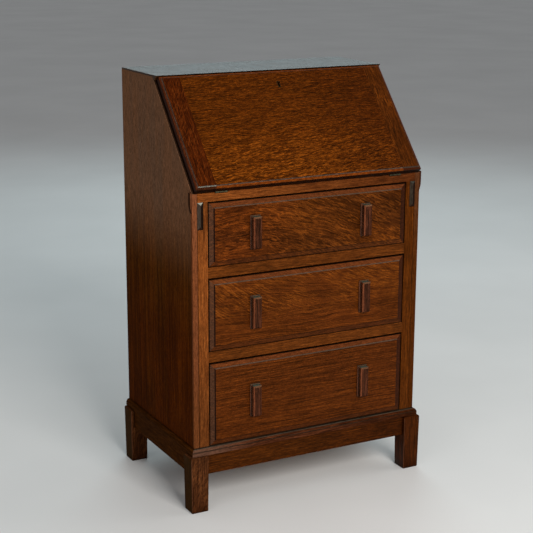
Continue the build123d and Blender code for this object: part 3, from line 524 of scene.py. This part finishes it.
# --- materials ------------------------------------------------------------------------------------
OAK = {
    "lid": oak(
        "oak_lid", X, LID_TONES, seed=3.7, slope=True, waver=0.016,
        fleck=0.95, fleck_colour=srgb(122, 62, 11), fleck_long=36, fleck_wide=400, fleck_angle=0.14,
        fleck_dark=0.7, fleck_wave=1.7, fleck_gate=(0.12, 0.42), fleck_fade=(0.80, 0.93, 0.35),
        mottle=0.07, grit=0.34, speck=0.2, pores=0.6,
        # darker towards the right: painted shade
        zones=(tinted(X, 0.0, 0.26, (0.72, 0.68, 0.66)),),
        # the first colour is the painted highlight line along the low side, brightest on the left clamp
        # and dimmest on the right
        border=lid_border(srgb(92, 80, 70), srgb(110, 50, 12), 0.6)),
    "clamp": oak(
        "oak_clamp", Y, CLAMP_TONES, seed=8.2, slope=True, fleck=0.3, fleck_colour=srgb(112, 54, 16),
        fleck_long=60, fleck_wide=300, fleck_angle=0.5, fleck_dark=0.5, grit=0.26, pores=0.7,
        border=lid_border(srgb(134, 136, 126), srgb(44, 20, 9), 0.8)),
    "clamp_right": oak(
        "oak_clamp_right", Y, LID_RIGHT, seed=5.9, slope=True, fleck=0.6, fleck_colour=srgb(106, 52, 10),
        fleck_long=55, fleck_wide=240, fleck_wave=1.2,
        border=lid_border(srgb(76, 68, 60), srgb(50, 19, 7), 0.85)),
    "drawer_top": oak(
        "oak_drawer_top", X, DRAWER_TOP_TONES, seed=1.3, waver=0.014,
        bend=-0.4, bend_at=-0.16, bend_soft=0.15,
        fleck=0.45, fleck_colour=srgb(132, 70, 20), fleck_long=60, fleck_wide=260, fleck_angle=-0.2,
        fleck_wave=0.9, fleck_dark=0.35, mottle=0.17, mottle_scale=16, speck=0.15,
        patches=((0.78, 0.78, 0.88, 1.0), (1.06, 1.02, 0.92, 1.0)),
        zones=(tinted(X, 0.02, -0.2, (1.0, 0.88, 0.95)),), border=drawer_border("drawer_top_front")),
    "drawer_middle": oak(
        "oak_drawer_middle", X, DRAWER_TONES, seed=2.9, waver=0.022,
        bend=-0.3, bend_at=-0.3, bend_fade=(MIDDLE_HIGH, MIDDLE_LOW + 0.06),
        fleck=0.7, fleck_colour=srgb(130, 68, 18), fleck_long=30, fleck_wide=300, fleck_angle=-0.6,
        fleck_wave=0.9, fleck_dark=0.45, fleck_fade=(MIDDLE_HIGH - 0.07, MIDDLE_LOW + 0.05, 0.15),
        ring_long=7, speck=0.12, border=drawer_border("drawer_middle_front")),
    "drawer_bottom": oak(
        "oak_drawer_bottom", X, DRAWER_TONES, seed=6.1, fleck=0.1, fleck_dark=0.12,
        ring=460, ring_long=8, grit=0.22, speck=0.14, border=drawer_border("drawer_bottom_front")),
    "rail": oak("oak_rail", X, RAIL_TONES, seed=4.4, fleck=0.2),
    "rail_top": oak(
        "oak_rail_top", X, POST_TONES, seed=4.9, fleck=0.2,
        # darker towards the right: painted shade
        zones=(tinted(X, -0.12, 0.0, (0.6, 0.58, 0.62)), tinted(X, 0.08, 0.25, (0.72, 0.68, 0.74))),
        border=joint_lines("top_rail", "left right", 0.0008)),
    "post": oak(
        "oak_post", Z, POST_TONES, seed=7.5, fleck=0.15,
        zones=(tinted(Z, 0.60, 0.70, (0.68, 0.68, 0.72)), tinted(Z, 0.42, 0.20, (0.7, 0.72, 0.8))),
        border=joint_lines("front_post_left", "left", 0.0013)),
    "post_right": oak(
        # darker tones than the left post, as painted shade
        "oak_post_right", Z, POST_RIGHT_SHADED, seed=7.9, fleck=0.15,
        border=joint_lines("front_post_right", "right")),
    "ear": oak(
        "oak_ear", Z, EAR_TONES, seed=7.1, fleck=0.1, gloss=0.001,
        # painted shade: the right ear is darker and the ears' left faces are dark
        zones=(tinted(X, -0.05, 0.05, (0.42, 0.34, 0.26)),),
        turned=((LEFT, 0.5, 0.8, srgb(42, 27, 18), 0.8),)),
    "side": oak(
        "oak_side", Z, SIDE_TONES,
        zones=SIDE_PAINTED_REFLECTION + side_strip(srgb(106, 59, 35), srgb(98, 53, 25)), **SIDE),
    "side_right": oak(
        "oak_side_right", Z, SIDE_TONES,
        # the front strip of the right side board is in darker tones, as painted shade
        zones=SIDE_PAINTED_REFLECTION + side_strip(srgb(72, 34, 10), srgb(70, 33, 8)), **SIDE),
    "top": oak(
        "oak_top", X, TOP_TONES, seed=11.0, fleck=0.3, gloss=0.15, rough=0.44, tint=(0.8, 0.95, 1.0, 1.0)),
    "stand_x": oak(
        "oak_stand_x", X, PLINTH_TONES, seed=12.3, fleck=0.2,
        zones=(
            # paler towards the left end: painted light
            coloured(X, -0.12, -0.3, srgb(112, 82, 66), 0.45),
            line_at(Z, PLINTH_TOP - 0.0086, 0.0009, srgb(34, 22, 15), 0.85),
            coloured(Z, PLINTH_TOP - 0.0020, PLINTH_TOP - 0.0014, srgb(18, 11, 7), 0.85),
            # darker towards the right: painted shade
            tinted(X, -0.05, 0.25, (0.72, 0.62, 0.45)),
        ),
        # a painted reflection on up-facing faces
        turned=((UP, 0.8, 0.97, srgb(80, 76, 64), 0.7),)),
    "apron_x": oak(
        "oak_apron_x", X, APRON_TONES, seed=12.9, fleck=0.3, mottle=0.2,
        # darker towards the right: painted shade
        zones=(tinted(X, -0.05, 0.25, (0.8, 0.7, 0.6)),)),
    "stand_y": oak("oak_stand_y", Y, STAND_SIDE, seed=13.1, fleck=0.2, gloss=0.001),
    "leg": oak(
        "oak_leg", Z, LEG_TONES, seed=14.8, fleck=0.5, fleck_colour=srgb(98, 57, 29), fleck_long=70,
        fleck_wide=200, fleck_wave=0.8, fleck_angle=0.5, fleck_dark=0.6, wear=0.9, gloss=0.003,
        # painted shade on the legs' left faces, and a painted highlight on their front-left arrises
        zones=(LEG_FOOT,), turned=((LEFT, 0.9, 0.98, srgb(52, 30, 4), 0.9), LEG_ARRIS_HIGHLIGHT)),
    "leg_right": oak(
        # darker tones than the other legs, as painted shade
        "oak_leg_right", Z, LEG_RIGHT_SHADED, seed=14.1, fleck=0.2, wear=0.6, zones=(LEG_FOOT,),
        turned=(LEG_ARRIS_HIGHLIGHT,)),
    "pull": oak(
        "oak_pull", Z, PULL_TONES, seed=15.4, fleck=0.05, ring=300, gloss=0.1, rough=0.22, wear=0.4,
        crease=0.5,
        zones=(
            # painted shade behind a pull's grip, and a painted reflection on its plate
            tinted(Y, NECK, PULL_FRONT + 0.0080, (0.2, 0.15, 0.14)),
            coloured(Y, PLATE, PULL_FRONT + 0.0137, srgb(46, 47, 43), 0.85),
        ),
        turned=PULL_PAINTED_LIGHT),
    "knob": oak("oak_knob", Z, PULL_TONES, seed=15.1, fleck=0.05, gloss=0.2, rough=0.22),
    "loper": oak(
        "oak_loper_end", Z, LOPER_TONES, seed=15.9, fleck=0.0, gloss=0.035, wear=0.6,
        turned=loper_painted_light(srgb(150, 150, 138), srgb(66, 58, 50))),
    "loper_right": oak(
        "oak_loper_end_right", Z, LOPER_TONES, seed=15.2, fleck=0.0, gloss=0.02, wear=0.6,
        # the right loper's end gets a dimmer painted highlight and reflection
        turned=loper_painted_light(srgb(58, 60, 54), srgb(52, 46, 38))),
    "inside": oak("oak_inside", X, INSIDE_TONES, seed=16.6, fleck=0.15, rough=0.55, wear=0.1),
    "inside_y": oak("oak_inside_y", Y, INSIDE_TONES, seed=17.2, fleck=0.15, rough=0.55, wear=0.1),
    "bed": oak("oak_bed", X, RAIL_TONES, seed=18.3, fleck=0.4, gloss=0.2),
}
BRASS = metal("brass_aged", srgb(84, 66, 38), srgb(40, 29, 17), 0.5)
STEEL = metal("steel_dull", srgb(120, 116, 108), srgb(60, 56, 50), 0.42)
HINGE_METAL = metal("hinge_brass_dull", srgb(74, 71, 54), srgb(42, 38, 28), 0.5)

# --- what each piece is made of; boards that aren't named are the plain wood of the inside ---------
WOODS = {
    "lid_panel": "lid", "lid_clamp_left": "clamp", "lid_clamp_right": "clamp_right",
    "drawer_top_front": "drawer_top", "drawer_middle_front": "drawer_middle",
    "drawer_bottom_front": "drawer_bottom", "top_rail": "rail_top", "drawer_rail_upper": "rail",
    "drawer_rail_lower": "rail", "front_post_left": "post", "front_post_right": "post_right",
    "side_left": "side", "side_right": "side_right", "side_ears": "ear", "top_board": "top",
    "plinth_front": "stand_x", "apron_front": "apron_x", "apron_rear": "apron_x", "plinth_left": "stand_y",
    "plinth_right": "stand_y", "apron_left": "stand_y", "apron_right": "stand_y", "leg_front_left": "leg",
    "leg_front_right": "leg_right", "leg_rear_left": "leg", "leg_rear_right": "leg", "writing_bed": "bed",
    "loper_cap_left": "loper", "loper_cap_right": "loper_right", "inner_drawer_knob": "knob",
    "inner_drawer_front": "bed", "loper_left": "inside_y", "loper_right": "inside_y",
    "drawer_runners": "inside_y", "loper_guides": "inside_y", "drawer_top_pulls": "pull",
    "drawer_middle_pulls": "pull", "drawer_bottom_pulls": "pull",
}
METALS = {
    "hinge_bed_leaves": HINGE_METAL, "hinge_lid_leaves": HINGE_METAL, "hinge_pins": STEEL,
    "hinge_screws_bed": BRASS, "hinge_screws_lid": BRASS, "keyhole_liner": BRASS, "strike_plate": BRASS,
    "lock_case": BRASS, "lock_bolt": STEEL,
}
EDGES = {
    "lid_panel": 0.0003, "lid_clamp_left": 0.0003, "lid_clamp_right": 0.0003, "side_left": 0.0008,
    "side_right": 0.0008, "leg_front_left": 0.0022, "leg_front_right": 0.0022, "leg_rear_left": 0.0022,
    "leg_rear_right": 0.0022, "drawer_top_pulls": PULL_EDGE, "drawer_middle_pulls": PULL_EDGE,
    "drawer_bottom_pulls": PULL_EDGE,
}
for name, piece in NODES.items():
    if name in METALS:
        material, edge = METALS[name], METAL_EDGE
    else:
        material, edge = OAK[WOODS.get(name, "inside")], EDGES.get(name, WOOD_EDGE)
    piece.data.materials.clear()
    piece.data.materials.append(material)
    weld = piece.modifiers.new("weld", "WELD")
    weld.merge_threshold = WELD_GAP
    bevel = piece.modifiers.new("eased edges", "BEVEL")
    bevel.width = edge
    bevel.segments = BEVEL_STEPS
    bevel.limit_method = "ANGLE"
    bevel.angle_limit = BEVEL_FROM
    normals = piece.modifiers.new("normals", "WEIGHTED_NORMAL")
    normals.keep_sharp = False

# --- floor, light and camera ----------------------------------------------------------------------
bpy.ops.mesh.primitive_circle_add(vertices=96, radius=FLOOR_RADIUS, fill_type="NGON", location=(0, 0, 0))
floor = bpy.context.object
floor.name = "studio_floor"
paint = Graph("floor_pale")
cloud = paint.noise(paint.node("TexCoord").outputs["Object"], 1.2, 3.0)
tone = paint.ramp(cloud, (0.3, srgb(214, 214, 213)), (0.7, srgb(222, 222, 221)))
floor.data.materials.append(paint.finish(tone, 0.75))

world = bpy.data.worlds.new("studio")
bpy.context.scene.world = world
world.use_nodes = True
background = world.node_tree.nodes["Background"]
background.inputs["Color"].default_value = srgb(206, 208, 210)
background.inputs["Strength"].default_value = WORLD_STRENGTH


def softbox(name, at, look_at, size, power, colour):
    """A square area light that faces look_at."""
    lamp = bpy.data.lights.new(name, "AREA")
    lamp.size = size
    lamp.energy = power
    lamp.color = colour
    holder = bpy.data.objects.new(name, lamp)
    holder.location = at
    away = Vector(at) - Vector(look_at)
    holder.rotation_euler = away.to_track_quat("Z", "Y").to_euler()
    bpy.context.scene.collection.objects.link(holder)


softbox("key", (-0.2, -3.3, 2.1), (0.0, 0.0, 0.5), 1.6, 121, (1.0, 0.97, 0.93))
softbox("fill", (-2.8, -2.0, 2.0), (0.0, 0.0, 0.5), 2.2, 12, (0.96, 0.98, 1.0))
softbox("right", (3.2, -0.8, 1.9), (0.0, 0.0, 0.5), 2.2, 22, (1.0, 0.98, 0.95))
softbox("back", (1.6, 3.1, 2.9), (0.0, 0.4, 0.6), 2.4, 42, (0.74, 0.95, 1.0))

camera = bpy.data.cameras.new("camera")
camera.sensor_width = SENSOR_WIDTH
camera.lens = LENS
view = bpy.data.objects.new("camera", camera)
turn = Euler((pi / 2 - CAMERA_DOWN, 0.0, CAMERA_TURN)).to_matrix() @ Matrix.Rotation(CAMERA_ROLL, 3, "Z")
view.matrix_world = Matrix.Translation(CAMERA_AT) @ turn.to_4x4()
bpy.context.scene.collection.objects.link(view)
bpy.context.scene.camera = view
bpy.context.scene.view_settings.view_transform = "Standard"
